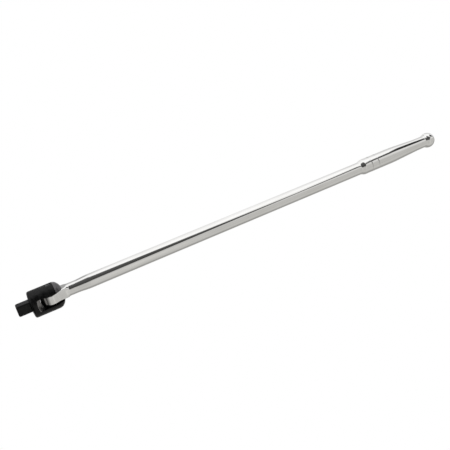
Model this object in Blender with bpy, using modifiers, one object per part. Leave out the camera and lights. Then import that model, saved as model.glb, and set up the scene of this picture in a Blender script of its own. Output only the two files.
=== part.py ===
"""Breaker bar with a swivelling head, half-inch square drive, 24 inches overall.

Frame: metres, +Z up. The origin is the centre of the tang's end face. +X runs along
the bar from the head to the grip, +Z runs along the pivot pin. Sizes and places below
are in millimetres, and places are taken from the pin's centre.

Eight pieces: the one-piece bar, the forked drive head with its square tang, the
pivot pin and its snap ring, the plunger and spring that give the head its drag, and
the ball and spring in the tang that hold a socket.
"""
import math

import bpy
import bmesh

MM = 0.001

# Driving sizes
OVERALL_LENGTH = 609.6
DRIVE_SQUARE = 12.7
SHAFT_RADIUS = 8.5
HEAD_RADIUS = 15.9
PIN_RADIUS = 4.2
RUNNING_GAP = 0.1
FACE_GAP = 0.35

# Drive head: tang, domed front, barrel and forked ears, along X
TANG_TIP_X = -40.1
TANG_EDGE = 1.7
HEAD_FRONT_X = -25.2
FRONT_DOME_RADIUS = 90.0
FRONT_RIM_RADIUS = 13.4
BARREL_FRONT_X = -21.5
BARREL_REAR_X = 5.3
EAR_CHAMFER_X = 8.0
EAR_ARC_X = 5.0
EAR_END_X = 14.8

# Fork slot: half width, flat floor and its relieved sides
EYE_RADIUS = 12.9
EYE_HALF_THICKNESS = 6.6
SLOT_HALF_WIDTH = EYE_HALF_THICKNESS + FACE_GAP
SLOT_FLOOR_X = -EYE_RADIUS - 0.4
SLOT_FLOOR_HALF = 9.7
SLOT_RELIEF_SLOPE = 0.7

# Bar: flat eye, waisted neck, round shaft, flared grip and ball end
EYE_EDGE = 1.6
NECK_RADIUS = 7.5
NECK_FILLET = 22.0
FLAT_END_X = 12.5
NECK_ROUND_X = 22.0
WAIST_END_X = 29.0
SHAFT_FULL_X = 47.0
FLARE_START_X = 437.0
FLARE_END_X = 444.6
GRIP_RADIUS = 10.5
GROOVES_X = (454.0, 465.2)
GROOVE_WIDTH = 1.5
GROOVE_DEPTH = 0.45
TAPER_START_X = 494.0
TAPER_END_X = 541.0
TAPER_EASE = 8.0
GRIP_NECK_RADIUS = 8.05
KNOB_RADIUS = 10.5
KNOB_NECK_FILLET = 4.0
KNOB_FLAT_RADIUS = 3.5

# Stepped pivot pin, pushed in from below, and the snap ring under it, along Z
PIN_TOP_Z = 15.3
PIN_END_Z = -11.9
PIN_SPIGOT_RADIUS = 3.4
PIN_SHOULDER_Z = 9.0
SPIGOT_COUNTERSINK = 0.9
RING_Z = -12.8
RING_THICKNESS = 0.9
RING_GROOVE_WIDTH = 1.3
RING_INNER = 3.4
RING_OUTER = 5.0
RING_GROOVE_RADIUS = 5.3
RING_OPENING_DEG = 50.0

# Friction plunger in the head, pressing on the rim of the eye, along X
PLUNGER_RADIUS = 2.9
PLUNGER_LENGTH = 5.0
PLUNGER_BORE_END_X = -23.6
PLUNGER_NOSE = 1.2

# Socket detent in the tang, opening on its -Z face, along Z
BALL_RADIUS = 2.5
BALL_CENTRE_Z = -4.8
BALL_BORE_TOP_Z = 2.9
BALL_LIP_RADIUS = 2.3
BALL_LIP_DEPTH = 0.45
BALL_X = -33.6

# Springs: the wire's radius is small enough that the turns still don't meet when the
# plunger is 1.2 mm in, or the ball 1 mm
SPRING_WIRE = 0.2
SPRING_POINTS_PER_TURN = 12
SPRING_TURNS = 4

# Facets round a turned piece
HEAD_SEGMENTS = 48
BAR_SEGMENTS = 32
SMALL_SEGMENTS = 28

BLACK_OXIDE = ((0.018, 0.018, 0.019), 0.42, 0.85)
CHROME = ((0.86, 0.86, 0.85), 0.06, 1.0)
DARK_STEEL = ((0.09, 0.09, 0.09), 0.35, 1.0)
SPRING_STEEL = ((0.32, 0.31, 0.30), 0.30, 1.0)
BALL_STEEL = ((0.72, 0.72, 0.72), 0.10, 1.0)


def clear_scene():
    for old in list(bpy.data.objects):
        bpy.data.objects.remove(old, do_unlink=True)


def new_collection(name):
    group = bpy.data.collections.new(name)
    bpy.context.scene.collection.children.link(group)
    return group


def make_material(name, finish):
    colour, roughness, metallic = finish
    material = bpy.data.materials.new(name)
    material.use_nodes = True
    shader = material.node_tree.nodes["Principled BSDF"]
    shader.inputs["Base Color"].default_value = (*colour, 1.0)
    shader.inputs["Roughness"].default_value = roughness
    shader.inputs["Metallic"].default_value = metallic
    return material


def mesh_object(name, bm, group):
    """Turn a bmesh given in millimetres into an object in metres."""
    bmesh.ops.scale(bm, vec=(MM, MM, MM), verts=bm.verts)
    mesh = bpy.data.meshes.new(name)
    bm.to_mesh(mesh)
    bm.free()
    obj = bpy.data.objects.new(name, mesh)
    group.objects.link(obj)
    return obj


def finish(obj, look):
    """Give a piece its material and smooth shading with crisp edges."""
    obj.data.materials.clear()
    obj.data.materials.append(make_material(obj.name, look))
    obj.data.shade_smooth()
    obj.data.set_sharp_from_angle(angle=math.radians(35))
    return obj


def turned(name, profile, segments, group, along_x=False):
    """Spin an outline of (axial, radius) points, lowest point first, about its axis."""
    bm = bmesh.new()
    verts = [bm.verts.new((radius, 0.0, axial)) for axial, radius in reversed(profile)]
    for upper, lower in zip(verts, verts[1:]):
        bm.edges.new((upper, lower))
    obj = mesh_object(name, bm, group)
    if along_x:
        obj.rotation_euler = (0.0, math.pi / 2, 0.0)
    screw = obj.modifiers.new("turn", "SCREW")
    screw.axis = "Z"
    screw.angle = 2 * math.pi
    screw.steps = segments
    screw.render_steps = segments
    screw.use_merge_vertices = True
    screw.merge_threshold = 0.000001
    return obj


def cylinder(name, radius, low, high, segments, group, centre=(0.0, 0.0), along_x=False):
    """A plain round cutter between two heights along Z, or along X."""
    bm = bmesh.new()
    bmesh.ops.create_cone(
        bm, cap_ends=True, segments=segments, radius1=radius, radius2=radius, depth=high - low
    )
    obj = mesh_object(name, bm, group)
    middle = (low + high) / 2 * MM
    if along_x:
        obj.rotation_euler = (0.0, math.pi / 2, 0.0)
        obj.location = (middle, centre[0] * MM, centre[1] * MM)
    else:
        obj.location = (centre[0] * MM, centre[1] * MM, middle)
    return obj


def flat_outline(name, points, half_thickness, group):
    """A flat plate with the given XY outline, as a mesh object."""
    curve = bpy.data.curves.new(name, "CURVE")
    curve.dimensions = "2D"
    curve.fill_mode = "BOTH"
    curve.extrude = half_thickness * MM
    spline = curve.splines.new("POLY")
    spline.points.add(len(points) - 1)
    for point, (x, y) in zip(spline.points, points):
        point.co = (x * MM, y * MM, 0.0, 1.0)
    spline.use_cyclic_u = True
    guide = bpy.data.objects.new(name, curve)
    group.objects.link(guide)
    obj = curve_to_mesh(guide, name, group)
    return obj


def curve_to_mesh(guide, name, group):
    """Make a curve object a welded mesh object in the same place."""
    bpy.context.view_layer.update()
    graph = bpy.context.evaluated_depsgraph_get()
    mesh = bpy.data.meshes.new_from_object(guide.evaluated_get(graph))
    place = guide.matrix_world.copy()
    bpy.data.objects.remove(guide, do_unlink=True)
    bm = bmesh.new()
    bm.from_mesh(mesh)
    bmesh.ops.remove_doubles(bm, verts=bm.verts, dist=0.000001)
    bmesh.ops.recalc_face_normals(bm, faces=bm.faces)
    bm.to_mesh(mesh)
    bm.free()
    obj = bpy.data.objects.new(name, mesh)
    obj.matrix_world = place
    group.objects.link(obj)
    return obj


def combine(obj, cutter, operation):
    """Cut with, or join, a helper object, which is hidden from view."""
    cutter.hide_render = True
    cutter.display_type = "WIRE"
    modifier = obj.modifiers.new(cutter.name, "BOOLEAN")
    modifier.operation = operation
    modifier.solver = "EXACT"
    modifier.object = cutter


def arc(centre, radii, start_deg, end_deg, steps):
    """Points (axial, radius) on an ellipse, from one angle to another."""
    points = []
    for step in range(steps + 1):
        angle = math.radians(start_deg + (end_deg - start_deg) * step / steps)
        points.append(
            (centre[0] + radii[0] * math.cos(angle), centre[1] + radii[1] * math.sin(angle))
        )
    return points


def smooth(low, high, value):
    """0 below low, 1 above high, eased between them."""
    share = min(max((value - low) / (high - low), 0.0), 1.0)
    return share * share * (3 - 2 * share)


# ---------------------------------------------------------------- bar

def bar_profile():
    """Outline of the round part of the bar, from inside the neck to the ball end."""
    points = [(NECK_ROUND_X - 1.0, 0.0), (NECK_ROUND_X - 1.0, NECK_RADIUS)]
    points.append((WAIST_END_X, NECK_RADIUS))
    for step in range(1, 6):
        share = step / 5
        x = WAIST_END_X + (SHAFT_FULL_X - WAIST_END_X) * share
        points.append((x, NECK_RADIUS + (SHAFT_RADIUS - NECK_RADIUS) * smooth(0, 1, share)))
    points.append((FLARE_START_X, SHAFT_RADIUS))
    for step in range(1, 6):
        share = step / 5
        x = FLARE_START_X + (FLARE_END_X - FLARE_START_X) * share
        points.append((x, SHAFT_RADIUS + (GRIP_RADIUS - SHAFT_RADIUS) * smooth(0, 1, share)))
    for groove in GROOVES_X:
        points.append((groove - GROOVE_WIDTH / 2, GRIP_RADIUS))
        points.append((groove, GRIP_RADIUS - GROOVE_DEPTH))
        points.append((groove + GROOVE_WIDTH / 2, GRIP_RADIUS))
    slope = (GRIP_RADIUS - GRIP_NECK_RADIUS) / (TAPER_END_X - TAPER_START_X)
    points.append((TAPER_START_X - TAPER_EASE, GRIP_RADIUS))
    points.append((TAPER_START_X, GRIP_RADIUS - slope * TAPER_EASE / 4))
    points.append((TAPER_START_X + TAPER_EASE, GRIP_RADIUS - slope * TAPER_EASE))
    points.append((TAPER_END_X, GRIP_NECK_RADIUS))
    return points + knob_profile()


def knob_profile():
    """The ball end: a fillet out of the grip's neck, a ball, and a small flat."""
    end_x = OVERALL_LENGTH + TANG_TIP_X
    flat_reach = math.sqrt(KNOB_RADIUS ** 2 - KNOB_FLAT_RADIUS ** 2)
    ball_x = end_x - flat_reach
    rise = GRIP_NECK_RADIUS + KNOB_NECK_FILLET
    reach = math.sqrt((KNOB_RADIUS + KNOB_NECK_FILLET) ** 2 - rise ** 2)
    fillet_x = ball_x - reach
    tangent_deg = math.degrees(math.atan2(rise, reach))
    radii = (KNOB_NECK_FILLET, KNOB_NECK_FILLET)
    points = arc((fillet_x, rise), radii, -90, -tangent_deg, 3)
    flat_deg = math.degrees(math.asin(KNOB_FLAT_RADIUS / KNOB_RADIUS))
    ball_radii = (KNOB_RADIUS, KNOB_RADIUS)
    points += arc((ball_x, 0.0), ball_radii, 180 - tangent_deg, flat_deg, 9)[1:]
    points.append((end_x, 0.0))
    return points


def eye_half_width(x):
    """Half width of the bar's eye and neck in plan, at a distance from the pin."""
    drop = EYE_RADIUS - NECK_RADIUS
    fillet_x = math.sqrt(drop * (EYE_RADIUS + NECK_RADIUS + 2 * NECK_FILLET))
    fillet_y = NECK_RADIUS + NECK_FILLET
    tangent_x = fillet_x * EYE_RADIUS / (EYE_RADIUS + NECK_FILLET)
    if x <= tangent_x:
        return math.sqrt(EYE_RADIUS ** 2 - x ** 2)
    if x < fillet_x:
        return fillet_y - math.sqrt(NECK_FILLET ** 2 - (x - fillet_x) ** 2)
    return NECK_RADIUS


def eye_section(x, arc_steps=4):
    """Closed section (y, z) of the eye and neck: a plate whose corners grow round."""
    share = smooth(FLAT_END_X, NECK_ROUND_X, x)
    half_width = eye_half_width(x) - 0.04 * share
    half_height = EYE_HALF_THICKNESS + (NECK_RADIUS - 0.04 - EYE_HALF_THICKNESS) * share
    corner = EYE_EDGE + (NECK_RADIUS - 0.2 - EYE_EDGE) * smooth(FLAT_END_X, NECK_ROUND_X, x)
    corner = min(corner, half_height - 0.1, half_width - 0.1)
    quarter = []
    for step in range(arc_steps + 1):
        angle = math.pi / 2 * (1 - step / arc_steps)
        quarter.append(
            (
                half_width - corner + corner * math.cos(angle),
                half_height - corner + corner * math.sin(angle),
            )
        )
    right = quarter + [(y, -z) for y, z in reversed(quarter)]
    left = [(-y, z) for y, z in reversed(right)]
    return [(0.0, half_height)] + right + [(0.0, -half_height)] + left


def add_ring(bm, x, section):
    return [bm.verts.new((x, y, z)) for y, z in section]


def bridge(bm, ring_a, ring_b):
    count = len(ring_a)
    for index in range(count):
        after = (index + 1) % count
        bm.faces.new((ring_a[index], ring_a[after], ring_b[after], ring_b[index]))


def make_eye(group):
    """The flattened eye: a half-round rim about the pin, lofted into the round neck."""
    bm = bmesh.new()
    stations = [0, 2.5, 5, 7.5, 9.5, 11.5, 13.5, 15.5, 17.5, 19.5, 21.5, NECK_ROUND_X]
    rings = [add_ring(bm, x, eye_section(x)) for x in stations]
    for ring_a, ring_b in zip(rings, rings[1:]):
        bridge(bm, ring_a, ring_b)
    bm.faces.new(rings[-1])
    first = rings[0]
    half = len(first) // 2
    right_edges = [bm.edges.get((first[i], first[i + 1])) for i in range(half)]
    bmesh.ops.spin(
        bm,
        geom=first[: half + 1] + right_edges,
        cent=(0, 0, 0),
        axis=(0, 0, 1),
        angle=math.pi,
        steps=16,
        use_merge=False,
        use_duplicate=False,
    )
    bmesh.ops.remove_doubles(bm, verts=bm.verts, dist=0.001)
    bmesh.ops.recalc_face_normals(bm, faces=bm.faces)
    return mesh_object("eye_form", bm, group)


def make_bar(parts, cutters):
    bar = turned("handle_bar", bar_profile(), BAR_SEGMENTS, parts, along_x=True)
    eye = make_eye(cutters)
    combine(bar, eye, "UNION")
    bore_radius = PIN_RADIUS + RUNNING_GAP
    bore = cylinder("eye_bore", bore_radius, -10, 10, SMALL_SEGMENTS, cutters)
    combine(bar, bore, "DIFFERENCE")
    return finish(bar, CHROME)


# ---------------------------------------------------------------- drive head

def head_profile():
    """Outline of the head's round body, from its domed front to the ears' ends."""
    points = [(HEAD_FRONT_X, 0.0)]
    dome_x = HEAD_FRONT_X + FRONT_DOME_RADIUS
    for radius in (5.0, 9.0, 12.0, FRONT_RIM_RADIUS):
        points.append((dome_x - math.sqrt(FRONT_DOME_RADIUS ** 2 - radius ** 2), radius))
    middle = ((points[-1][0] + BARREL_FRONT_X) / 2 - 0.2, (FRONT_RIM_RADIUS + HEAD_RADIUS) / 2 + 0.2)
    points.append(middle)
    points.append((BARREL_FRONT_X, HEAD_RADIUS))
    points.append((BARREL_REAR_X, HEAD_RADIUS))
    ear_radii = (EAR_END_X - EAR_ARC_X, HEAD_RADIUS)
    start_deg = math.degrees(math.acos((EAR_CHAMFER_X - EAR_ARC_X) / ear_radii[0]))
    points += arc((EAR_ARC_X, 0.0), ear_radii, start_deg, 12, 7)
    points.append((points[-1][0], 0.0))
    return points


def make_tang(group):
    """The square drive with broken corners and a chamfered tip."""
    length = HEAD_FRONT_X + 3 - TANG_TIP_X
    bm = bmesh.new()
    bmesh.ops.create_cube(bm, size=1.0)
    bmesh.ops.scale(bm, vec=(length, DRIVE_SQUARE, DRIVE_SQUARE), verts=bm.verts)
    front_x = -length / 2
    edges = [e for e in bm.edges if any(v.co.x < front_x + 0.01 for v in e.verts)]
    bmesh.ops.bevel(bm, geom=edges, offset=TANG_EDGE, segments=2, profile=0.5, affect="EDGES")
    bmesh.ops.translate(bm, vec=(TANG_TIP_X + length / 2, 0, 0), verts=bm.verts)
    return mesh_object("tang_form", bm, group)


def slot_outline():
    """Plan of the fork's slot: a flat floor, relieved on both sides for the swing."""
    side = HEAD_RADIUS + 6
    relief_x = SLOT_FLOOR_X - SLOT_RELIEF_SLOPE * (side - SLOT_FLOOR_HALF)
    lower = [(EAR_END_X + 10, -side), (relief_x, -side), (SLOT_FLOOR_X, -SLOT_FLOOR_HALF)]
    upper = [(x, -y) for x, y in reversed(lower)]
    return lower + upper


def make_head(parts, cutters):
    head = turned("drive_head", head_profile(), HEAD_SEGMENTS, parts, along_x=True)
    combine(head, make_tang(cutters), "UNION")
    slot = flat_outline("fork_slot", slot_outline(), SLOT_HALF_WIDTH, cutters)
    combine(head, slot, "DIFFERENCE")
    combine(head, make_pin_bore(cutters), "DIFFERENCE")
    groove_low = RING_Z - RING_GROOVE_WIDTH / 2
    groove_high = RING_Z + RING_GROOVE_WIDTH / 2
    groove = cylinder(
        "ring_groove", RING_GROOVE_RADIUS, groove_low, groove_high, SMALL_SEGMENTS, cutters
    )
    combine(head, groove, "DIFFERENCE")
    plunger_bore = cylinder(
        "plunger_bore", PLUNGER_RADIUS + RUNNING_GAP, PLUNGER_BORE_END_X,
        SLOT_FLOOR_X + 2, SMALL_SEGMENTS, cutters, along_x=True,
    )
    combine(head, plunger_bore, "DIFFERENCE")
    combine(head, make_ball_bore(cutters), "DIFFERENCE")
    return finish(head, BLACK_OXIDE)


def make_pin_bore(group):
    """Stepped bore for the pin: wide from below, narrow and countersunk at the top."""
    wide = PIN_RADIUS + RUNNING_GAP
    narrow = PIN_SPIGOT_RADIUS + RUNNING_GAP
    shoulder_z = PIN_SHOULDER_Z + FACE_GAP
    rim_z = HEAD_RADIUS - SPIGOT_COUNTERSINK
    profile = [
        (-HEAD_RADIUS - 4, 0.0),
        (-HEAD_RADIUS - 4, wide),
        (shoulder_z, wide),
        (shoulder_z, narrow),
        (rim_z, narrow),
        (HEAD_RADIUS + 1, narrow + SPIGOT_COUNTERSINK + 1),
        (HEAD_RADIUS + 1, 0.0),
    ]
    return turned("pin_bore", profile, SMALL_SEGMENTS, group)


def make_ball_bore(group):
    """The detent's bore, with a staked lip at its mouth that keeps the ball in."""
    bore_radius = BALL_RADIUS + RUNNING_GAP
    lip_top_z = -DRIVE_SQUARE / 2 + BALL_LIP_DEPTH
    profile = [
        (-DRIVE_SQUARE / 2 - 1, 0.0),
        (-DRIVE_SQUARE / 2 - 1, BALL_LIP_RADIUS),
        (lip_top_z, BALL_LIP_RADIUS),
        (lip_top_z, bore_radius),
        (BALL_BORE_TOP_Z - 1, bore_radius),
        (BALL_BORE_TOP_Z, 0.0),
    ]
    bore = turned("ball_bore", profile, SMALL_SEGMENTS, group)
    bore.location = (BALL_X * MM, 0.0, 0.0)
    return bore


# ---------------------------------------------------------------- pin and snap ring

def make_pin(parts):
    """Stepped pin: a shank through the eye, and a spigot that shows in the upper ear."""
    profile = [
        (PIN_END_Z, 0.0),
        (PIN_END_Z, PIN_RADIUS - 0.4),
        (PIN_END_Z + 0.4, PIN_RADIUS),
        (PIN_SHOULDER_Z, PIN_RADIUS),
        (PIN_SHOULDER_Z, PIN_SPIGOT_RADIUS),
        (PIN_TOP_Z - 0.7, PIN_SPIGOT_RADIUS),
        (PIN_TOP_Z, PIN_SPIGOT_RADIUS - 0.8),
        (PIN_TOP_Z, 0.0),
    ]
    pin = turned("pivot_pin", profile, SMALL_SEGMENTS, parts)
    return finish(pin, DARK_STEEL)


def make_snap_ring(parts):
    """Open ring in a groove of the lower ear, which keeps the pin in."""
    half_opening = RING_OPENING_DEG / 2
    radii_out = (RING_OUTER, RING_OUTER)
    radii_in = (RING_INNER, RING_INNER)
    outline = arc((0.0, 0.0), radii_out, half_opening, 360 - half_opening, 28)
    outline += arc((0.0, 0.0), radii_in, 360 - half_opening, half_opening, 28)
    ring = flat_outline("pin_snap_ring", outline, RING_THICKNESS / 2, parts)
    ring.location = (0.0, 0.0, RING_Z * MM)
    return finish(ring, SPRING_STEEL)


# ---------------------------------------------------------------- plunger, ball, springs

def make_plunger(parts):
    """Round plunger with a domed nose, close to the rim of the bar's eye."""
    nose_x = -EYE_RADIUS - 0.3
    back_x = nose_x - PLUNGER_LENGTH
    profile = [
        (back_x, 0.0),
        (back_x, PLUNGER_RADIUS - 0.4),
        (back_x + 0.4, PLUNGER_RADIUS),
    ]
    nose_centre = (nose_x - PLUNGER_NOSE, 0.0)
    profile += arc(nose_centre, (PLUNGER_NOSE, PLUNGER_RADIUS), 90, 0, 5)
    profile[-1] = (nose_x, 0.0)
    plunger = turned("friction_plunger", profile, SMALL_SEGMENTS, parts, along_x=True)
    return finish(plunger, BALL_STEEL)


def make_ball(parts):
    bm = bmesh.new()
    bmesh.ops.create_uvsphere(bm, u_segments=24, v_segments=14, radius=BALL_RADIUS)
    ball = mesh_object("socket_detent_ball", bm, parts)
    ball.location = (BALL_X * MM, 0.0, BALL_CENTRE_Z * MM)
    return finish(ball, BALL_STEEL)


def make_spring(name, coil_radius, length, parts, cutters):
    """A coil along Z from 0 to length, as a mesh object."""
    curve = bpy.data.curves.new(name, "CURVE")
    curve.dimensions = "3D"
    curve.bevel_depth = SPRING_WIRE * MM
    curve.bevel_resolution = 2
    curve.use_fill_caps = True
    count = SPRING_TURNS * SPRING_POINTS_PER_TURN + 1
    spline = curve.splines.new("POLY")
    spline.points.add(count - 1)
    for index, point in enumerate(spline.points):
        angle = 2 * math.pi * index / SPRING_POINTS_PER_TURN
        x = coil_radius * math.cos(angle) * MM
        y = coil_radius * math.sin(angle) * MM
        z = (SPRING_WIRE + (length - 2 * SPRING_WIRE) * index / (count - 1)) * MM
        point.co = (x, y, z, 1.0)
    guide = bpy.data.objects.new(name + "_path", curve)
    cutters.objects.link(guide)
    spring = curve_to_mesh(guide, name, parts)
    return finish(spring, SPRING_STEEL)


def make_springs(parts, cutters):
    low_x = PLUNGER_BORE_END_X + 0.5
    high_x = -EYE_RADIUS - 0.3 - PLUNGER_LENGTH - 0.5
    friction = make_spring("friction_spring", PLUNGER_RADIUS - 0.8, high_x - low_x, parts, cutters)
    friction.rotation_euler = (0.0, math.pi / 2, 0.0)
    friction.location = (low_x * MM, 0.0, 0.0)
    low_z = BALL_CENTRE_Z + BALL_RADIUS + 0.3
    high_z = BALL_BORE_TOP_Z - 1.2
    detent = make_spring("detent_spring", BALL_RADIUS - 0.9, high_z - low_z, parts, cutters)
    detent.location = (BALL_X * MM, 0.0, low_z * MM)


def stand_on_pivot(parts, cutters):
    """Hang everything on an empty at the pin, which puts the origin at the tang's end."""
    forms = list(parts.objects) + list(cutters.objects)
    pivot = bpy.data.objects.new("pivot_axis", None)
    pivot.location = (-TANG_TIP_X * MM, 0.0, 0.0)
    parts.objects.link(pivot)
    for form in forms:
        form.parent = pivot


def main():
    clear_scene()
    parts = new_collection("breaker_bar")
    cutters = new_collection("cutters")
    make_bar(parts, cutters)
    make_head(parts, cutters)
    make_pin(parts)
    make_snap_ring(parts)
    make_plunger(parts)
    make_ball(parts)
    make_springs(parts, cutters)
    stand_on_pivot(parts, cutters)


main()
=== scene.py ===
"""Looks of the breaker bar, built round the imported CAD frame.

The polished bar, the forked head, the pin, the ring, the plunger, the ball and the springs
each get a fine mesh in the CAD solid's own space, with node-based chrome, black oxide and
steel.
Lengths below are in millimetres, in the frame's axes: +X from the head to the grip, +Z
along the pivot pin. Places are taken from the pin's centre and moved into the frame's
own origin, at the tang's end, when a mesh is made.
"""

import math

import bmesh
import bpy
from mathutils import Matrix, Vector


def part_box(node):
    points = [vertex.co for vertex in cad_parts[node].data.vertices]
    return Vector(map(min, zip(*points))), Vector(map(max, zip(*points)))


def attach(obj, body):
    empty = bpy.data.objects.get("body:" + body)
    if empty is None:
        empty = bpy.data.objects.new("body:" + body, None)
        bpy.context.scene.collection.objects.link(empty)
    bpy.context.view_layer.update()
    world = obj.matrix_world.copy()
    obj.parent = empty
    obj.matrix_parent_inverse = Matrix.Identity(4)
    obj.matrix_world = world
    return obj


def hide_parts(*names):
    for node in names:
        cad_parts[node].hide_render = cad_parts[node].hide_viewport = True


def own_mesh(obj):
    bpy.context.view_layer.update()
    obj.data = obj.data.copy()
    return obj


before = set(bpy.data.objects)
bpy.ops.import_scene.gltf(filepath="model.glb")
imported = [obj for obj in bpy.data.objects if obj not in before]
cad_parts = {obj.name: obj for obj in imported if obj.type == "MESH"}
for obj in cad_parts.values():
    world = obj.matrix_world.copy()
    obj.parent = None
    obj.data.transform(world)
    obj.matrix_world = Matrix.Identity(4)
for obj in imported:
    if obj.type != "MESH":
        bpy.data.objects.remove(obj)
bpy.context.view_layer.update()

MM = 0.001


def pin_centre():
    """Centre of the pivot pin, on the bar's axis, in the frame and in metres."""
    low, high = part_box("pivot_pin")
    return Vector(((low.x + high.x) / 2, 0.0, 0.0))


PIVOT = pin_centre()


def box_mm(node):
    """Lowest and highest corner of a CAD node, in millimetres from the pin's centre."""
    low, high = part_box(node)
    return (low - PIVOT) / MM, (high - PIVOT) / MM


# ---------------------------------------------------------------- sizes, from the frame
BAR_LOW, BAR_HIGH = box_mm("handle_bar")
HEAD_LOW, HEAD_HIGH = box_mm("drive_head")
PIN_LOW, PIN_HIGH = box_mm("pivot_pin")
RING_LOW, RING_HIGH = box_mm("pin_snap_ring")
PLUNGER_LOW, PLUNGER_HIGH = box_mm("friction_plunger")
BALL_LOW, BALL_HIGH = box_mm("socket_detent_ball")

EYE_RADIUS = -BAR_LOW.x
BAR_END_X = BAR_HIGH.x
TANG_TIP_X = HEAD_LOW.x
HEAD_RADIUS = HEAD_HIGH.y
PIN_RADIUS = PIN_HIGH.y
PIN_TOP_Z = PIN_HIGH.z
PIN_END_Z = PIN_LOW.z
BALL_RADIUS = (BALL_HIGH.x - BALL_LOW.x) / 2
BALL_CENTRE = (BALL_HIGH + BALL_LOW) / 2
PLUNGER_RADIUS = PLUNGER_HIGH.y

# Bar
EYE_HALF_THICKNESS = 6.6
EYE_SQUARENESS = 7.0
EYE_SQUARE_END_X = 13.5
NECK_RADIUS = 7.5
NECK_FILLET = 22.0
NECK_ROUND_X = 22.0
FLAT_END_X = 12.5
WAIST_END_X = 29.0
SHAFT_RADIUS = 8.5
SHAFT_FULL_X = 47.0
FLARE_START_X = 437.0
FLARE_END_X = 444.6
GRIP_RADIUS = 10.5
GROOVES_X = (454.0, 465.2)
GROOVE_HALF = 0.75
GROOVE_DEPTH = 0.45
TAPER_START_X = 494.0
TAPER_END_X = 541.0
TAPER_EASE = 8.0
GRIP_NECK_RADIUS = 8.05
KNOB_RADIUS = 10.5
KNOB_NECK_FILLET = 4.0
KNOB_FLAT_RADIUS = 3.5
BAR_POINTS_ROUND = 96
EYE_SPIN_STEPS = 64
EYE_BORE_RADIUS = PIN_RADIUS + 0.1

# Drive head
DRIVE_SQUARE = 12.7
TANG_EDGE = 1.7
HEAD_FRONT_X = -25.2
FRONT_DOME_RADIUS = 90.0
FRONT_RIM_RADIUS = 13.4
BARREL_FRONT_X = -21.5
BARREL_REAR_X = 5.3
EAR_CHAMFER_X = 8.0
EAR_ARC_X = 5.0
EAR_END_X = 14.8
SLOT_HALF_WIDTH = 6.95
SLOT_FLOOR_X = -13.3
SLOT_FLOOR_HALF = 9.7
SLOT_RELIEF_SLOPE = 0.7
SPIGOT_RADIUS = 3.4
PIN_SHOULDER_Z = 9.0
BORE_GAP = 0.1
SHOULDER_GAP = 0.35
SPIGOT_COUNTERSINK = 0.9
RING_GROOVE_RADIUS = 5.3
RING_GROOVE_LOW = -13.45
RING_GROOVE_HIGH = -12.15
PLUNGER_BORE_END_X = -23.6
BALL_BORE_TOP_Z = 2.9
BALL_LIP_RADIUS = 2.3
BALL_LIP_DEPTH = 0.45
HEAD_VOXEL = 0.26

# Rounded edges and small marks of the pin, the snap ring and the plunger
PIN_END_EDGE = 0.5
PIN_TOP_EDGE = 0.6
PIN_DIMPLE_RADIUS = 0.9
PIN_DIMPLE_FLOOR = 0.25
PIN_DIMPLE_DEPTH = 0.5
RING_WIDTH = 1.6
RING_EDGE = 0.2
RING_HALF_OPENING_DEG = 25
PLUNGER_NOSE = 1.2
PLUNGER_EDGE = 0.4
KNOB_FLAT_EDGE = 0.25

# Springs: the wire's radius, and the finer facets of a coil
SPRING_WIRE = 0.2
SPRING_TURNS = 4
SPRING_STEPS_PER_TURN = 32
SPRING_WIRE_SIDES = 12

# Camera: a 50 mm lens, turned about the bar so that the slot faces a little downwards
LENS = 50.0
SENSOR_WIDTH = 36.0
CLIP_NEAR = 0.01
CLIP_FAR = 50.0
AIM_X = 227.0
AIM_DROP = 0.69
CAMERA_DISTANCE = 788.0
BAR_SLANT_DEG = 19.15
BAR_RISE_DEG = 22.65
CAMERA_ROLL_ABOUT_BAR_DEG = 20.7

# Floor
FLOOR_REACH = 9000
FLOOR_GAP = 0.3


# ---------------------------------------------------------------- small helpers
def smooth(low, high, value):
    """0 below low, 1 above high, eased between them."""
    share = min(max((value - low) / (high - low), 0.0), 1.0)
    return share * share * (3 - 2 * share)


def spread(start, end, steps):
    """Evenly spaced values from start to end, both included."""
    return [start + (end - start) * step / steps for step in range(steps + 1)]


def link(obj):
    bpy.context.scene.collection.objects.link(obj)
    return obj


def mesh_object(name, bm):
    """Turn a bmesh in pin-centred millimetres into an object in the frame, in metres."""
    bmesh.ops.scale(bm, vec=(MM, MM, MM), verts=bm.verts)
    bmesh.ops.translate(bm, vec=PIVOT, verts=bm.verts)
    mesh = bpy.data.meshes.new(name)
    bm.to_mesh(mesh)
    bm.free()
    return link(bpy.data.objects.new(name, mesh))


def turned(name, profile, segments, along_x=False, centre=(0.0, 0.0, 0.0)):
    """A closed body turned from (axial, radius) points, with its axis along Z or X."""
    bm = bmesh.new()
    rings = []
    for axial, radius in profile:
        if radius < 1e-6:
            rings.append([bm.verts.new((0.0, 0.0, axial))])
            continue
        ring = []
        for index in range(segments):
            angle = 2 * math.pi * index / segments
            ring.append(bm.verts.new((radius * math.cos(angle), radius * math.sin(angle), axial)))
        rings.append(ring)
    for low, high in zip(rings, rings[1:]):
        join_rings(bm, low, high)
    if along_x:
        bmesh.ops.rotate(bm, verts=bm.verts, matrix=Matrix.Rotation(math.pi / 2, 3, "Y"))
    bmesh.ops.translate(bm, vec=centre, verts=bm.verts)
    bmesh.ops.recalc_face_normals(bm, faces=bm.faces)
    return mesh_object(name, bm)


def join_rings(bm, low, high):
    """Faces between two rings of one size, or between a ring and a pole."""
    count = max(len(low), len(high))
    for index in range(count):
        after = (index + 1) % count
        if len(low) == 1:
            bm.faces.new((low[0], high[index], high[after]))
        elif len(high) == 1:
            bm.faces.new((low[index], high[0], low[after]))
        else:
            bm.faces.new((low[index], high[index], high[after], low[after]))


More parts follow.
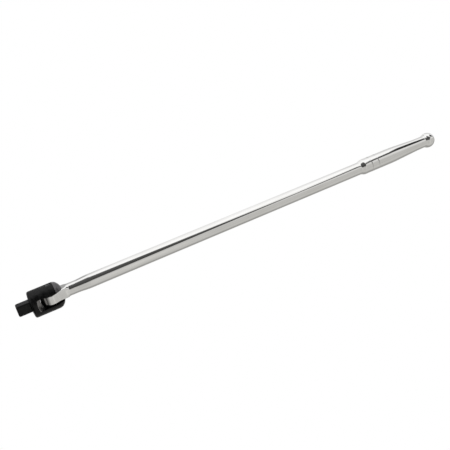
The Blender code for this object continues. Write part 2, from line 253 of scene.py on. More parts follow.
def combine(obj, tool, operation):
    """Cut with, or join, a helper object, then remove the helper."""
    modifier = obj.modifiers.new("join", "BOOLEAN")
    modifier.operation = operation
    modifier.solver = "EXACT"
    modifier.object = tool
    bake(obj)
    bpy.data.objects.remove(tool, do_unlink=True)


def bake(obj):
    """Apply every modifier on an object."""
    bpy.context.view_layer.update()
    graph = bpy.context.evaluated_depsgraph_get()
    mesh = bpy.data.meshes.new_from_object(obj.evaluated_get(graph))
    obj.modifiers.clear()
    old = obj.data
    obj.data = mesh
    bpy.data.meshes.remove(old)


def dress(obj, material, body, node, crease_deg=40):
    """Material, smooth shading, and the piece's place in the frame."""
    obj.data.materials.clear()
    obj.data.materials.append(material)
    obj.data.shade_smooth()
    obj.data.set_sharp_from_angle(angle=math.radians(crease_deg))
    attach(obj, body)
    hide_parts(node)


def arc(centre, radii, start_deg, end_deg, steps):
    """Points (axial, radius) on an ellipse, from one angle to another."""
    points = []
    for degrees in spread(start_deg, end_deg, steps):
        angle = math.radians(degrees)
        points.append((centre[0] + radii[0] * math.cos(angle), centre[1] + radii[1] * math.sin(angle)))
    return points


# ---------------------------------------------------------------- the bar
def eye_half_width(x):
    """Half width of the eye and neck in plan: a round eye filleted into the neck."""
    fillet_x = math.sqrt((EYE_RADIUS - NECK_RADIUS) * (EYE_RADIUS + NECK_RADIUS + 2 * NECK_FILLET))
    fillet_y = NECK_RADIUS + NECK_FILLET
    tangent_x = fillet_x * EYE_RADIUS / (EYE_RADIUS + NECK_FILLET)
    if x <= tangent_x:
        return math.sqrt(EYE_RADIUS ** 2 - x ** 2)
    if x < fillet_x:
        return fillet_y - math.sqrt(NECK_FILLET ** 2 - (x - fillet_x) ** 2)
    return NECK_RADIUS


def eye_section(x):
    """Closed section (y, z) of eye and neck: a squarish plate that grows round."""
    share = smooth(FLAT_END_X, NECK_ROUND_X, x)
    half_width = eye_half_width(x)
    half_height = EYE_HALF_THICKNESS + (NECK_RADIUS - EYE_HALF_THICKNESS) * share
    squareness = EYE_SQUARENESS + (2.0 - EYE_SQUARENESS) * smooth(EYE_SQUARE_END_X, NECK_ROUND_X - 1, x)
    power = 2.0 / squareness
    points = []
    for index in range(BAR_POINTS_ROUND):
        angle = 2 * math.pi * index / BAR_POINTS_ROUND
        across = math.copysign(abs(math.cos(angle)) ** power, math.cos(angle))
        up = math.copysign(abs(math.sin(angle)) ** power, math.sin(angle))
        points.append((half_width * across, half_height * up))
    return points


def shaft_outline():
    """Outline (x, radius) of the round part of the bar, from the neck to the ball end."""
    points = [(x, NECK_RADIUS) for x in spread(NECK_ROUND_X, WAIST_END_X, 6)]
    for x in spread(WAIST_END_X, SHAFT_FULL_X, 16)[1:]:
        grown = smooth(WAIST_END_X, SHAFT_FULL_X, x)
        points.append((x, NECK_RADIUS + (SHAFT_RADIUS - NECK_RADIUS) * grown))
    points += [(x, SHAFT_RADIUS) for x in spread(SHAFT_FULL_X, FLARE_START_X, 60)[1:]]
    for x in spread(FLARE_START_X, FLARE_END_X, 24)[1:]:
        grown = smooth(FLARE_START_X, FLARE_END_X, x)
        points.append((x, SHAFT_RADIUS + (GRIP_RADIUS - SHAFT_RADIUS) * grown))
    for groove_x in GROOVES_X:
        points.append((groove_x - 3 * GROOVE_HALF, GRIP_RADIUS))
        for x in spread(groove_x - GROOVE_HALF, groove_x + GROOVE_HALF, 12):
            hollow = max(math.cos((x - groove_x) / GROOVE_HALF * math.pi / 2), 0.0)
            points.append((x, GRIP_RADIUS - GROOVE_DEPTH * hollow))
        points.append((groove_x + 3 * GROOVE_HALF, GRIP_RADIUS))
    for x in spread(TAPER_START_X - TAPER_EASE, TAPER_END_X - 4, 40):
        points.append((x, taper_radius(x)))
    return points + knob_outline()


def taper_radius(x):
    """The grip's straight taper, eased in at its start."""
    slope = (GRIP_RADIUS - GRIP_NECK_RADIUS) / (TAPER_END_X - TAPER_START_X)
    into = x - (TAPER_START_X - TAPER_EASE)
    if into < 2 * TAPER_EASE:
        return GRIP_RADIUS - slope * into ** 2 / (4 * TAPER_EASE)
    return GRIP_RADIUS - slope * (x - TAPER_START_X)


def knob_outline():
    """The ball end: a fillet out of the grip's neck, a ball, and a small flat."""
    flat_reach = math.sqrt(KNOB_RADIUS ** 2 - KNOB_FLAT_RADIUS ** 2)
    ball_x = BAR_END_X - flat_reach
    rise = GRIP_NECK_RADIUS + KNOB_NECK_FILLET
    reach = math.sqrt((KNOB_RADIUS + KNOB_NECK_FILLET) ** 2 - rise ** 2)
    tangent_deg = math.degrees(math.atan2(rise, reach))
    fillet_radii = (KNOB_NECK_FILLET, KNOB_NECK_FILLET)
    points = arc((ball_x - reach, rise), fillet_radii, -90, -tangent_deg, 14)
    flat_deg = math.degrees(math.asin(KNOB_FLAT_RADIUS / KNOB_RADIUS))
    points += arc((ball_x, 0.0), (KNOB_RADIUS, KNOB_RADIUS), 180 - tangent_deg, flat_deg, 44)[1:]
    points.append((BAR_END_X, KNOB_FLAT_RADIUS - KNOB_FLAT_EDGE))
    return points


def make_bar(material):
    """Eye tip spun about the pin, then one loft from the eye to the ball end."""
    bm = bmesh.new()
    eye_stations = spread(0.0, NECK_ROUND_X, 60)
    rings = []
    for x in eye_stations:
        rings.append([bm.verts.new((x, y, z)) for y, z in eye_section(x)])
    for x, radius in shaft_outline()[1:]:
        ring = []
        for index in range(BAR_POINTS_ROUND):
            angle = 2 * math.pi * index / BAR_POINTS_ROUND
            ring.append(bm.verts.new((x, radius * math.cos(angle), radius * math.sin(angle))))
        rings.append(ring)
    for low, high in zip(rings, rings[1:]):
        join_rings(bm, low, high)
    join_rings(bm, rings[-1], [bm.verts.new((BAR_END_X, 0.0, 0.0))])
    add_eye_tip(bm, rings[0])
    bmesh.ops.recalc_face_normals(bm, faces=bm.faces)
    bar = mesh_object("polished_bar", bm)
    bore = turned("eye_bore", plain_profile(EYE_BORE_RADIUS, -9.0, 9.0), 96)
    combine(bar, bore, "DIFFERENCE")
    dress(bar, material, "handle", "handle_bar")


def add_eye_tip(bm, ring):
    """Spin the eye's half section about the pin's axis to close the rounded tip."""
    quarter = BAR_POINTS_ROUND // 4
    right = [ring[index % BAR_POINTS_ROUND] for index in range(-quarter, quarter + 1)]
    left = [ring[2 * quarter - index] for index in range(-quarter, quarter + 1)]
    sections = [right]
    for step in range(1, EYE_SPIN_STEPS):
        angle = math.pi / 2 + math.pi * step / EYE_SPIN_STEPS
        section = [right[0]]
        for vert in right[1:-1]:
            reach = vert.co.y
            section.append(bm.verts.new((reach * math.cos(angle), reach * math.sin(angle), vert.co.z)))
        section.append(right[-1])
        sections.append(section)
    sections.append(left)
    for before, after in zip(sections, sections[1:]):
        for index in range(len(right) - 1):
            corners = [before[index], before[index + 1], after[index + 1], after[index]]
            unique = list(dict.fromkeys(corners))
            bm.faces.new(unique)


def plain_profile(radius, low, high):
    return [(low, 0.0), (low, radius), (high, radius), (high, 0.0)]


# ---------------------------------------------------------------- the drive head
def head_profile():
    """Outline of the head's round body, from its domed front to the ears' ends."""
    points = [(HEAD_FRONT_X, 0.0)]
    dome_x = HEAD_FRONT_X + FRONT_DOME_RADIUS
    for radius in spread(1.0, FRONT_RIM_RADIUS, 12):
        points.append((dome_x - math.sqrt(FRONT_DOME_RADIUS ** 2 - radius ** 2), radius))
    rim_x = points[-1][0]
    for degrees in spread(0, 90, 8)[1:]:
        angle = math.radians(degrees)
        x = BARREL_FRONT_X - (BARREL_FRONT_X - rim_x) * math.cos(angle)
        points.append((x, FRONT_RIM_RADIUS + (HEAD_RADIUS - FRONT_RIM_RADIUS) * math.sin(angle)))
    points.append((BARREL_REAR_X, HEAD_RADIUS))
    ear_radii = (EAR_END_X - EAR_ARC_X, HEAD_RADIUS)
    start_deg = math.degrees(math.acos((EAR_CHAMFER_X - EAR_ARC_X) / ear_radii[0]))
    points += arc((EAR_ARC_X, 0.0), ear_radii, start_deg, 12, 20)
    points.append((points[-1][0], 0.0))
    return points


def make_tang():
    """The square drive with rounded corners and a rounded tip."""
    length = HEAD_FRONT_X + 3 - TANG_TIP_X
    bm = bmesh.new()
    bmesh.ops.create_cube(bm, size=1.0)
    bmesh.ops.scale(bm, vec=(length, DRIVE_SQUARE, DRIVE_SQUARE), verts=bm.verts)
    front_x = -length / 2
    edges = [e for e in bm.edges if any(v.co.x < front_x + 0.01 for v in e.verts)]
    bmesh.ops.bevel(bm, geom=edges, offset=TANG_EDGE, segments=3, profile=0.5, affect="EDGES")
    bmesh.ops.translate(bm, vec=(TANG_TIP_X + length / 2, 0, 0), verts=bm.verts)
    return mesh_object("tang_form", bm)


def make_slot():
    """The fork's slot: a flat floor, relieved on both sides for the swing."""
    side = HEAD_RADIUS + 6
    relief_x = SLOT_FLOOR_X - SLOT_RELIEF_SLOPE * (side - SLOT_FLOOR_HALF)
    outline = [(EAR_END_X + 10, -side), (relief_x, -side), (SLOT_FLOOR_X, -SLOT_FLOOR_HALF)]
    outline += [(x, -y) for x, y in reversed(outline)]
    bm = bmesh.new()
    floor = bm.faces.new([bm.verts.new((x, y, -SLOT_HALF_WIDTH)) for x, y in outline])
    raised = bmesh.ops.extrude_face_region(bm, geom=[floor])["geom"]
    lifted = [item for item in raised if isinstance(item, bmesh.types.BMVert)]
    bmesh.ops.translate(bm, vec=(0, 0, 2 * SLOT_HALF_WIDTH), verts=lifted)
    bmesh.ops.recalc_face_normals(bm, faces=bm.faces)
    return mesh_object("slot_form", bm)


def pin_bore_profile():
    """Stepped bore for the pin, countersunk where it opens on the upper ear."""
    wide = PIN_RADIUS + BORE_GAP
    narrow = SPIGOT_RADIUS + BORE_GAP
    return [
        (-HEAD_RADIUS - 4, 0.0),
        (-HEAD_RADIUS - 4, wide),
        (RING_GROOVE_LOW, wide),
        (RING_GROOVE_LOW, RING_GROOVE_RADIUS),
        (RING_GROOVE_HIGH, RING_GROOVE_RADIUS),
        (RING_GROOVE_HIGH, wide),
        (PIN_SHOULDER_Z + SHOULDER_GAP, wide),
        (PIN_SHOULDER_Z + SHOULDER_GAP, narrow),
        (HEAD_RADIUS - SPIGOT_COUNTERSINK, narrow),
        (HEAD_RADIUS + 1, narrow + SPIGOT_COUNTERSINK + 1),
        (HEAD_RADIUS + 1, 0.0),
    ]


def ball_bore_profile():
    """The detent's bore, with a staked lip at its mouth that keeps the ball in."""
    bore = BALL_RADIUS + BORE_GAP
    lip_top = -DRIVE_SQUARE / 2 + BALL_LIP_DEPTH
    return [
        (-DRIVE_SQUARE / 2 - 1, 0.0),
        (-DRIVE_SQUARE / 2 - 1, BALL_LIP_RADIUS),
        (lip_top, BALL_LIP_RADIUS),
        (lip_top, bore),
        (BALL_BORE_TOP_Z - 1, bore),
        (BALL_BORE_TOP_Z, 0.0),
    ]


def make_head(material):
    """Turned body, tang and cuts, then remeshed so that every edge is softly broken."""
    head = turned("forked_head", head_profile(), 160, along_x=True)
    combine(head, make_tang(), "UNION")
    combine(head, make_slot(), "DIFFERENCE")
    combine(head, turned("pin_bore", pin_bore_profile(), 96), "DIFFERENCE")
    plunger_bore = plain_profile(PLUNGER_RADIUS + BORE_GAP, PLUNGER_BORE_END_X, SLOT_FLOOR_X + 2)
    combine(head, turned("plunger_bore", plunger_bore, 64, along_x=True), "DIFFERENCE")
    ball_place = (BALL_CENTRE.x, 0.0, 0.0)
    combine(head, turned("ball_bore", ball_bore_profile(), 64, centre=ball_place), "DIFFERENCE")
    remesh = head.modifiers.new("remesh", "REMESH")
    remesh.mode = "VOXEL"
    remesh.voxel_size = HEAD_VOXEL * MM
    soften = head.modifiers.new("soften", "SMOOTH")
    soften.factor = 0.5
    soften.iterations = 2
    bake(head)
    dress(head, material, "head", "drive_head", crease_deg=60)


# ---------------------------------------------------------------- pin, ring, ball, plunger, springs
def make_pin(material):
    """Stepped pin with rounded ends and a small turning centre in the visible one."""
    profile = [(PIN_END_Z, 0.0)]
    low_edge = (PIN_END_EDGE, PIN_END_EDGE)
    profile += arc((PIN_END_Z + PIN_END_EDGE, PIN_RADIUS - PIN_END_EDGE), low_edge, 180, 90, 6)
    profile += [(PIN_SHOULDER_Z, PIN_RADIUS), (PIN_SHOULDER_Z, SPIGOT_RADIUS)]
    top_edge = (PIN_TOP_EDGE, PIN_TOP_EDGE)
    profile += arc((PIN_TOP_Z - PIN_TOP_EDGE, SPIGOT_RADIUS - PIN_TOP_EDGE), top_edge, 90, 0, 8)
    dimple_z = PIN_TOP_Z - PIN_DIMPLE_DEPTH
    profile += [(PIN_TOP_Z, PIN_DIMPLE_RADIUS), (dimple_z, PIN_DIMPLE_FLOOR), (dimple_z, 0.0)]
    pin = turned("cross_pin", profile, 96)
    dress(pin, material, "head", "pivot_pin")


def make_ring(material):
    """Open snap ring with rounded edges."""
    middle = (RING_LOW.z + RING_HIGH.z) / 2
    half_height = (RING_HIGH.z - RING_LOW.z) / 2
    outer = RING_HIGH.y
    inner = outer - RING_WIDTH
    edge = RING_EDGE
    bm = bmesh.new()
    rings = []
    for degrees in spread(RING_HALF_OPENING_DEG, 360 - RING_HALF_OPENING_DEG, 80):
        angle = math.radians(degrees)
        section = []
        for corner_radius, corner_z, start in (
            (outer - edge, half_height - edge, 0),
            (inner + edge, half_height - edge, 90),
            (inner + edge, edge - half_height, 180),
            (outer - edge, edge - half_height, 270),
        ):
            for part in spread(start, start + 90, 3):
                reach = corner_radius + edge * math.cos(math.radians(part))
                z = middle + corner_z + edge * math.sin(math.radians(part))
                section.append(bm.verts.new((reach * math.cos(angle), reach * math.sin(angle), z)))
        rings.append(section)
    for before, after in zip(rings, rings[1:]):
        join_rings(bm, before, after)
    bm.faces.new(rings[0])
    bm.faces.new(rings[-1])
    bmesh.ops.recalc_face_normals(bm, faces=bm.faces)
    ring = mesh_object("snap_ring", bm)
    dress(ring, material, "head", "pin_snap_ring")


def make_ball(material):
    bm = bmesh.new()
    bmesh.ops.create_icosphere(bm, subdivisions=5, radius=BALL_RADIUS)
    bmesh.ops.translate(bm, vec=BALL_CENTRE, verts=bm.verts)
    ball = mesh_object("detent_ball", bm)
    dress(ball, material, "detent", "socket_detent_ball")


def make_plunger(material):
    """Plunger with a domed nose towards the bar's eye."""
    back_edge = (PLUNGER_EDGE, PLUNGER_EDGE)
    back_centre = (PLUNGER_LOW.x + PLUNGER_EDGE, PLUNGER_RADIUS - PLUNGER_EDGE)
    profile = [(PLUNGER_LOW.x, 0.0)]
    profile += arc(back_centre, back_edge, 180, 90, 5)
    profile += arc((PLUNGER_HIGH.x - PLUNGER_NOSE, 0.0), (PLUNGER_NOSE, PLUNGER_RADIUS), 90, 3, 14)
    profile.append((PLUNGER_HIGH.x, 0.0))
    plunger = turned("domed_plunger", profile, 64, along_x=True)
    dress(plunger, material, "plunger", "friction_plunger")


def make_spring(name, node, material, along_x=False):
    """A round-wire coil that fills the CAD spring's box."""
    low, high = box_mm(node)
    middle = (low + high) / 2
    size = high - low
    length = size.x if along_x else size.z
    coil_radius = size.y / 2 - SPRING_WIRE
    bm = bmesh.new()
    steps = SPRING_TURNS * SPRING_STEPS_PER_TURN
    rings = []
    for index in range(steps + 1):
        angle = 2 * math.pi * SPRING_TURNS * index / steps
        outward = Vector((math.cos(angle), math.sin(angle), 0.0))
        height = SPRING_WIRE + (length - 2 * SPRING_WIRE) * index / steps - length / 2
        centre = outward * coil_radius + Vector((0.0, 0.0, height))
        ring = []
        for part in range(SPRING_WIRE_SIDES):
            turn = 2 * math.pi * part / SPRING_WIRE_SIDES
            offset = outward * math.cos(turn) + Vector((0.0, 0.0, 1.0)) * math.sin(turn)
            ring.append(bm.verts.new(centre + offset * SPRING_WIRE))
        rings.append(ring)
    for before, after in zip(rings, rings[1:]):
        join_rings(bm, before, after)
    bm.faces.new(rings[0])
    bm.faces.new(rings[-1])
    if along_x:
        bmesh.ops.rotate(bm, verts=bm.verts, matrix=Matrix.Rotation(math.pi / 2, 3, "Y"))
    bmesh.ops.translate(bm, vec=middle, verts=bm.verts)
    bmesh.ops.recalc_face_normals(bm, faces=bm.faces)
    spring = mesh_object(name, bm)
    dress(spring, material, "head", node, crease_deg=60)
    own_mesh(spring)


# ---------------------------------------------------------------- materials
class Graph:
    """Short calls for building one node tree; place is the coordinate that it works from."""

    def __init__(self, tree, place):
        self.tree = tree
        self.place = self.add("ShaderNodeTexCoord").outputs[place]

    def add(self, kind):
        return self.tree.nodes.new(kind)

    def feed(self, socket, value):
        """Link a socket to an input, or set a plain number, colour or vector on it."""
        if isinstance(value, bpy.types.NodeSocket):
            self.tree.links.new(value, socket)
        elif isinstance(value, tuple) and socket.type == "RGBA":
            socket.default_value = (*value, 1.0)
        else:
            socket.default_value = value

    def noise(self, scale, detail=3.0, roughness=0.5, stretch=(1.0, 1.0, 1.0)):
        """Noise at so many cells per metre, stretched along the axes."""
        mapping = self.add("ShaderNodeMapping")
        self.feed(mapping.inputs["Vector"], self.place)
        self.feed(mapping.inputs["Scale"], stretch)
        node = self.add("ShaderNodeTexNoise")
        self.feed(node.inputs["Vector"], mapping.outputs["Vector"])
        self.feed(node.inputs["Scale"], scale)
        self.feed(node.inputs["Detail"], detail)
        self.feed(node.inputs["Roughness"], roughness)
        return node.outputs["Fac"]

    def scaled(self, value, low, high, to_low, to_high, eased=False):
        """Move a value from one range into another, held at both ends."""
        node = self.add("ShaderNodeMapRange")
        node.interpolation_type = "SMOOTHSTEP" if eased else "LINEAR"
        inputs = (value, low, high, to_low, to_high)
        names = ("Value", "From Min", "From Max", "To Min", "To Max")
        for name, given in zip(names, inputs):
            self.feed(node.inputs[name], given)
        return node.outputs["Result"]

    def maths(self, operation, first, second=0.0):
        node = self.add("ShaderNodeMath")
        node.operation = operation
        self.feed(node.inputs[0], first)
        self.feed(node.inputs[1], second)
        return node.outputs["Value"]

    def product(self, *values):
        result = values[0]
        for value in values[1:]:
            result = self.maths("MULTIPLY", result, value)
        return result

    def dot(self, vector):
        node = self.add("ShaderNodeVectorMath")
        node.operation = "DOT_PRODUCT"
        self.feed(node.inputs[0], self.place)
        self.feed(node.inputs[1], tuple(vector))
        return node.outputs["Value"]

    def graph(self, value, stops):
        """Straight lines through (input, output) stops."""
        low, high = stops[0][0], stops[-1][0]
        least = min(output for _, output in stops)
        most = max(output for _, output in stops)
        ramp = self.add("ShaderNodeValToRGB")
        elements = ramp.color_ramp.elements
        elements.remove(elements[1])
        for index, (given, output) in enumerate(stops):
            place = (given - low) / (high - low)
            element = elements[0] if index == 0 else elements.new(place)
            element.position = place
            tone = (output - least) / (most - least)
            element.color = (tone, tone, tone, 1.0)
        self.feed(ramp.inputs["Fac"], self.scaled(value, low, high, 0.0, 1.0))
        return self.scaled(ramp.outputs["Color"], 0.0, 1.0, least, most)

    def mix(self, factor, first, second):
        """Blend two colours; each is a tuple or a socket."""
        node = self.add("ShaderNodeMix")
        node.data_type = "RGBA"
        self.feed(node.inputs["Factor"], factor)
        self.feed(node.inputs["A"], first)
        self.feed(node.inputs["B"], second)
        return node.outputs["Result"]

    def bump(self, height, depth_mm, strength=1.0):
        node = self.add("ShaderNodeBump")
        self.feed(node.inputs["Strength"], strength)
        self.feed(node.inputs["Distance"], depth_mm * MM)
        self.feed(node.inputs["Height"], height)
        return node.outputs["Normal"]


def new_material(name):
    """A material, its Principled shader's inputs, and the graph that feeds them."""
    material = bpy.data.materials.new(name)
    material.use_nodes = True
    graph = Graph(material.node_tree, "Object")
    return material, material.node_tree.nodes["Principled BSDF"].inputs, graph


def chrome_material():
    """Polished nickel-chrome: faint smudges, hairline polish marks, slight waviness."""
    material, shader, g = new_material("polished_chrome")
    smudge = g.noise(60, 4.0, 0.6, (0.5, 1.0, 1.0))
    grain = g.noise(900, 2.0, 0.5, (0.08, 1.0, 1.0))
    tone = g.scaled(smudge, 0.35, 0.65, 0.0, 1.0)
    g.feed(shader["Base Color"], g.mix(tone, (0.86, 0.855, 0.84), (0.91, 0.905, 0.895)))
    g.feed(shader["Metallic"], 1.0)
    polish = g.scaled(smudge, 0.3, 0.7, 0.06, 0.11)
    hair = g.scaled(grain, 0.3, 0.7, -0.015, 0.015)
    g.feed(shader["Roughness"], g.maths("ADD", polish, hair))
    g.feed(shader["Normal"], g.bump(g.noise(35, 1.0, 0.4), 0.012))
    return material


def painted_highlight_shares(g):
    """Masks of painted highlight on the head: 1 on the upper ear's rear face and on the slot's reliefs.

    These faces get a bright steel tone that stands in for the light they catch. The lower ear's rear
    face, shaped the same, is left black.
    """
    x = g.maths("SUBTRACT", g.dot((1 / MM, 0, 0)), PIVOT.x / MM)
    y = g.maths("ABSOLUTE", g.dot((0, 1 / MM, 0)))
    height = g.dot((0, 0, 1 / MM))
    z = g.maths("ABSOLUTE", height)
    # Painted highlight on the upper ear's rear face only; the lower ear's face stays black.
    behind = g.scaled(x, BARREL_REAR_X, BARREL_REAR_X + 0.4, 0.0, 1.0)
    upper_ear_highlight = g.product(behind, g.scaled(height, SLOT_HALF_WIDTH, SLOT_HALF_WIDTH + 0.2, 0.0, 1.0))
    # Painted highlight on the slot's reliefs, on both sides of the slot.
    sideways = g.maths("MULTIPLY", g.maths("SUBTRACT", y, SLOT_FLOOR_HALF), SLOT_RELIEF_SLOPE)
    depth = g.maths("ABSOLUTE", g.maths("ADD", g.maths("SUBTRACT", x, SLOT_FLOOR_X), sideways))
    relief_highlight = g.product(
        g.scaled(depth, 0.2, 0.4, 1.0, 0.0),
        g.scaled(z, SLOT_HALF_WIDTH - 0.3, SLOT_HALF_WIDTH - 0.1, 1.0, 0.0),
        g.scaled(y, SLOT_FLOOR_HALF, SLOT_FLOOR_HALF + 0.4, 0.0, 1.0),
    )
    return upper_ear_highlight, relief_highlight


def black_oxide_material():
    """Oiled black oxide over forged steel: mottled, finely pitted, worn at its edges.

    The upper ear's rear face and the slot's reliefs get a painted highlight: a bright steel tone,
    brighter on the reliefs.
    """
    material, shader, g = new_material("black_oxide")
    mottle = g.noise(260, 5.0, 0.6)
    pits = g.noise(1500, 3.0, 0.6)
    edge = g.scaled(g.add("ShaderNodeNewGeometry").outputs["Pointiness"], 0.53, 0.62, 0.0, 1.0)
    worn = g.maths("MULTIPLY", edge, g.scaled(g.noise(500, 3.0, 0.6), 0.45, 0.7, 0.0, 0.5))
    tone = g.scaled(mottle, 0.35, 0.65, 0.0, 1.0)
    dark = g.mix(tone, (0.003, 0.003, 0.0035), (0.008, 0.0075, 0.008))
    upper_ear_highlight, relief_highlight = painted_highlight_shares(g)
    highlight_mask = g.maths("MAXIMUM", upper_ear_highlight, relief_highlight)
    # Painted highlight colour: steel grey on the upper ear's rear face, lighter on the slot's reliefs.
    steel = g.mix(relief_highlight, (0.15, 0.145, 0.15), (0.32, 0.31, 0.31))
    bare = g.mix(worn, dark, (0.10, 0.095, 0.09))
    # Base colour: black oxide with worn edges, turning to the painted highlight's steel grey on the
    # highlighted faces.
    g.feed(shader["Base Color"], g.mix(g.product(highlight_mask, g.scaled(mottle, 0.3, 0.7, 0.8, 1.0)), bare, steel))
    g.feed(shader["Roughness"], g.scaled(mottle, 0.3, 0.7, 0.28, 0.42))
    g.feed(shader["Metallic"], g.maths("MAXIMUM", g.maths("MULTIPLY", worn, 0.6), g.product(highlight_mask, 0.9)))
    g.feed(shader["Specular IOR Level"], g.scaled(mottle, 0.3, 0.7, 0.17, 0.30))
    g.feed(shader["Normal"], g.bump(pits, 0.02, 0.6))
    return material


def steel_material(name, colour, lighter, roughness):
    """Bare steel with finely ground marks, its tone and roughness uneven."""
    material, shader, g = new_material(name)
    ground = g.noise(1400, 3.0, 0.55)
    tone = g.scaled(g.noise(300, 3.0, 0.5), 0.3, 0.7, 0.0, 1.0)
    g.feed(shader["Base Color"], g.mix(tone, colour, lighter))
    g.feed(shader["Metallic"], 1.0)
    g.feed(shader["Roughness"], g.scaled(ground, 0.3, 0.7, roughness * 0.75, roughness * 1.25))
    g.feed(shader["Normal"], g.bump(ground, 0.004, 0.5))
    return material


# ---------------------------------------------------------------- camera, light, floor
def camera_axes():
    """Unit vectors: the line of sight, and the direction round the bar towards the camera."""
    slant = math.radians(BAR_SLANT_DEG)
    roll = math.radians(CAMERA_ROLL_ABOUT_BAR_DEG)
    towards = Vector((0.0, -math.cos(roll), math.sin(roll)))
    above = Vector((0.0, math.sin(roll), math.cos(roll)))
    sight = Vector((math.sin(slant), 0.0, 0.0)) - towards * math.cos(slant)
    return sight, towards, above


def make_camera():
    """Camera whose picture shows the bar rising to the right, its grip farther away."""
    sight = camera_axes()[0]
    along = (Vector((1.0, 0.0, 0.0)) - sight * sight.x).normalized()
    across = along.cross(sight).normalized()
    rise = math.radians(BAR_RISE_DEG)
    right = along * math.cos(rise) - across * math.sin(rise)
    up = along * math.sin(rise) + across * math.cos(rise)
    data = bpy.data.cameras.new("camera")
    data.lens = LENS
    data.sensor_width = SENSOR_WIDTH
    data.clip_start = CLIP_NEAR
    data.clip_end = CLIP_FAR
    camera = link(bpy.data.objects.new("camera", data))
    aim = Vector((AIM_X, 0.0, 0.0)) - across * AIM_DROP
    stand = PIVOT + (aim - sight * CAMERA_DISTANCE) * MM
    turn = Matrix((right, up, -sight)).transposed().to_4x4()
    camera.matrix_world = Matrix.Translation(stand) @ turn
    bpy.context.scene.camera = camera


# The studio surround is a lighting set-up for polished metal, which shows only what it
# reflects. Its stops were chosen one by one. All bands are angles round the bar, in degrees:
# 0 is towards the camera, 90 is above the bar and -90 below it.
TOP_BAND = (98.0, 112.0)
TABLE_NEAR_BAND = (-20.0, 0.0)
TABLE_FAR_BAND = (-75.0, -50.0)
LOW_BAND = (15.0, 55.0)
WARM_BAND = (-30.0, 60.0)
GAP_LOW_BLUR = 4.0
GAP_HIGH_BLUR = 5.0
GAP_SHADING = (0.5, 1.5)
WARM_WHITE = (1.0, 0.99, 0.955)
WHITE = (1.0, 1.0, 1.0)
# Brightness against that angle.
ROUND_BAR = (
    (-180, 0.50), (-140, 0.44), (-120, 0.28), (-90, 0.54), (-30, 0.65), (-6, 0.58), (60, 1.12),
    (100, 1.00), (180, 0.75),
)
# The dark gap between softbox and table: its lower and upper edge, in the same degrees,
# against how far a direction leans along the bar (the X part of its unit vector).
GAP_LOW = ((-0.3, -2), (-0.05, -9), (0.06, -8), (0.50, 17), (0.60, 31), (0.72, 34))
GAP_HIGH = ((-0.3, 46), (-0.05, 66), (0.05, 66), (0.44, 25), (0.50, 34), (0.66, 78))
GAP_TONE = ((-0.2, 0.08), (0.34, 0.07), (0.42, 0.14), (0.58, 0.06), (0.72, 0.02))
# How much of the brightness is left behind the bar's top, on the table, and low down at the
# unlit end of the studio beyond the head, against that lean.
TOP_RIM = ((-0.2, 0.40), (0.04, 0.45), (0.15, 0.95), (0.38, 1.02), (0.60, 0.74))
TABLE = ((-0.2, 0.84), (0.05, 0.88), (0.2, 1.06), (0.32, 0.87), (0.6, 0.85))
UNLIT_END = ((-1.0, 0.03), (-0.75, 0.15), (-0.40, 1.0))


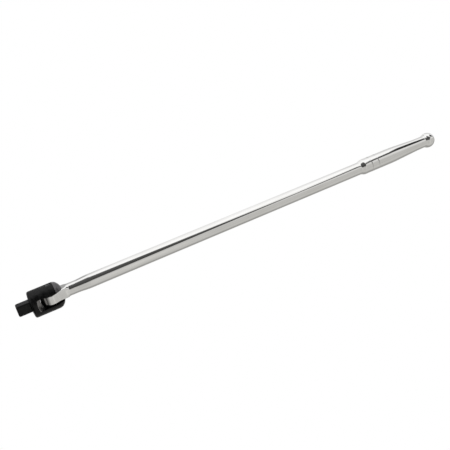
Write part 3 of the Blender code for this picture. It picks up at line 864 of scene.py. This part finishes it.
def make_world():
    """Soft studio surround: white above, a dark gap by the camera, warm grey below."""
    world = bpy.data.worlds.new("studio")
    bpy.context.scene.world = world
    world.use_nodes = True
    world.node_tree.nodes.clear()
    g = Graph(world.node_tree, "Generated")
    towards, above = camera_axes()[1:]
    angle = g.maths("DEGREES", g.maths("ARCTAN2", g.dot(above), g.dot(towards)))
    lean = g.dot((1.0, 0.0, 0.0))

    tone = g.graph(angle, ROUND_BAR)
    top_share = g.scaled(angle, *TOP_BAND, 0.0, 1.0, eased=True)
    tone = g.product(tone, g.scaled(top_share, 0.0, 1.0, 1.0, g.graph(lean, TOP_RIM)))
    table_share = g.product(
        g.scaled(angle, *TABLE_NEAR_BAND, 1.0, 0.0, eased=True),
        g.scaled(angle, *TABLE_FAR_BAND, 0.0, 1.0, eased=True),
    )
    tone = g.product(tone, g.scaled(table_share, 0.0, 1.0, 1.0, g.graph(lean, TABLE)))

    low = g.graph(lean, GAP_LOW)
    high = g.graph(lean, GAP_HIGH)
    low_start = g.maths("SUBTRACT", low, GAP_LOW_BLUR)
    low_end = g.maths("ADD", low, GAP_LOW_BLUR)
    high_start = g.maths("SUBTRACT", high, GAP_HIGH_BLUR)
    high_end = g.maths("ADD", high, GAP_HIGH_BLUR)
    over = g.scaled(angle, low_start, low_end, 0.0, 1.0, eased=True)
    under = g.scaled(angle, high_start, high_end, 1.0, 0.0, eased=True)
    gap_tone = g.product(g.scaled(angle, low, high, *GAP_SHADING), g.graph(lean, GAP_TONE))
    tone = g.scaled(g.product(over, under), 0.0, 1.0, tone, gap_tone)
    low_share = g.scaled(angle, *LOW_BAND, 1.0, 0.0)
    tone = g.product(tone, g.scaled(low_share, 0.0, 1.0, 1.0, g.graph(lean, UNLIT_END)))

    tint = g.mix(g.scaled(angle, *WARM_BAND, 0.0, 1.0), WARM_WHITE, WHITE)
    colour = g.add("ShaderNodeVectorMath")
    colour.operation = "SCALE"
    g.feed(colour.inputs["Vector"], tint)
    g.feed(colour.inputs["Scale"], tone)
    seen = g.add("ShaderNodeLightPath").outputs["Is Camera Ray"]
    background = g.add("ShaderNodeBackground")
    g.feed(background.inputs["Color"], g.mix(seen, colour.outputs["Vector"], WHITE))
    output = g.add("ShaderNodeOutputWorld")
    g.feed(output.inputs["Surface"], background.outputs["Background"])


def make_floor():
    """Plain pale floor just under the head, lit evenly so that it stays white."""
    bm = bmesh.new()
    bmesh.ops.create_grid(bm, x_segments=2, y_segments=2, size=FLOOR_REACH)
    bmesh.ops.translate(bm, vec=(AIM_X, 0, HEAD_LOW.z - FLOOR_GAP), verts=bm.verts)
    floor = mesh_object("studio_floor", bm)
    material = bpy.data.materials.new("pale_floor")
    material.use_nodes = True
    tree = material.node_tree
    tree.nodes.clear()
    emission = tree.nodes.new("ShaderNodeEmission")
    emission.inputs["Color"].default_value = (1.0, 1.0, 1.0, 1.0)
    output = tree.nodes.new("ShaderNodeOutputMaterial")
    tree.links.new(emission.outputs["Emission"], output.inputs["Surface"])
    floor.data.materials.append(material)
    floor.visible_glossy = False
    floor.visible_diffuse = False
    floor.visible_shadow = False


def main():
    chrome = chrome_material()
    oxide = black_oxide_material()
    pin_steel = steel_material("dark_steel", (0.05, 0.05, 0.05), (0.10, 0.10, 0.10), 0.35)
    spring_steel = steel_material("spring_steel", (0.30, 0.29, 0.28), (0.40, 0.39, 0.38), 0.28)
    hard_steel = steel_material("hard_steel", (0.62, 0.62, 0.62), (0.74, 0.74, 0.74), 0.12)
    make_bar(chrome)
    make_head(oxide)
    make_pin(pin_steel)
    make_ring(spring_steel)
    make_ball(hard_steel)
    make_plunger(hard_steel)
    make_spring(
        "plunger_coil", "friction_spring", spring_steel,
        along_x=True,
    )
    make_spring("detent_coil", "detent_spring", spring_steel)
    make_camera()
    make_world()
    make_floor()
    bpy.context.scene.view_settings.view_transform = "Standard"


main()
